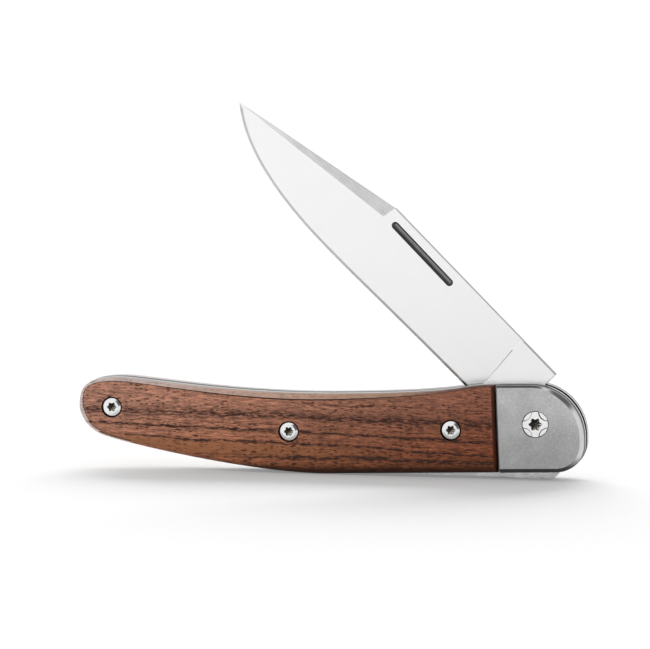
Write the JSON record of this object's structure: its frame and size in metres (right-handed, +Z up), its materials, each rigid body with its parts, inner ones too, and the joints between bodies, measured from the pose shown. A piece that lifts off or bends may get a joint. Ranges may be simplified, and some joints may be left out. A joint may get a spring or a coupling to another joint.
{
  "type": "folding pocket knife",
  "caption": "Slip-joint folding pocket knife with a clip-point blade, wooden scales and metal bolsters, half folded and standing on its back.",
  "frame": {"origin": "middle of the box's base, on the surface that the knife stands on", "axes": "+X along the handle towards the pivot, +Y from the front side with the long pull to the rear side, +Z up from the spring's back"},
  "size_m": [0.1042, 0.0114, 0.0754],
  "materials": {
    "blade_steel": "satin ground",
    "bolster_steel": "bead blasted, matte",
    "liner_steel": "sheet, cut edges brushed",
    "spring_steel": "ground",
    "screw_steel": "polished",
    "washer_bronze": "plain",
    "scale_wood": "oiled, reddish brown with dark streaks"
  },
  "bodies": {
    "handle": {"front_liner": "liner_steel", "rear_liner": "liner_steel", "front_bolster": "bolster_steel", "rear_bolster": "bolster_steel", "front_scale": "scale_wood", "rear_scale": "scale_wood", "pivot_barrel": "screw_steel", "pivot_screw": "screw_steel", "front_pivot_washer": "washer_bronze", "rear_pivot_washer": "washer_bronze", "middle_spring_pin": "screw_steel", "tail_spring_pin": "screw_steel", "front_scale_screw_1": "screw_steel", "front_scale_screw_2": "screw_steel", "front_scale_screw_3": "screw_steel", "rear_scale_screw_1": "screw_steel", "rear_scale_screw_2": "screw_steel", "rear_scale_screw_3": "screw_steel", "front_bolster_screw_1": "screw_steel", "front_bolster_screw_2": "screw_steel", "rear_bolster_screw_1": "screw_steel", "rear_bolster_screw_2": "screw_steel"},
    "blade": {"blade": "blade_steel"},
    "backspring": {"backspring": "spring_steel"}
  },
  "joints": [
    {"name": "blade_pivot", "type": "hinge", "parent": "handle", "child": "blade", "pos_m": [0.0421, 0, 0.01148], "axis": [0, 1, 0], "range_deg": [-44, 133.5]},
    {"name": "backspring_flex", "type": "hinge", "parent": "handle", "child": "backspring", "pos_m": [-0.04179, 0, 0.00671], "axis": [0, -1, 0], "range_deg": [0, 1], "stiffness_Nm_per_rad": 2, "deforming": ["backspring"]}
  ]
}
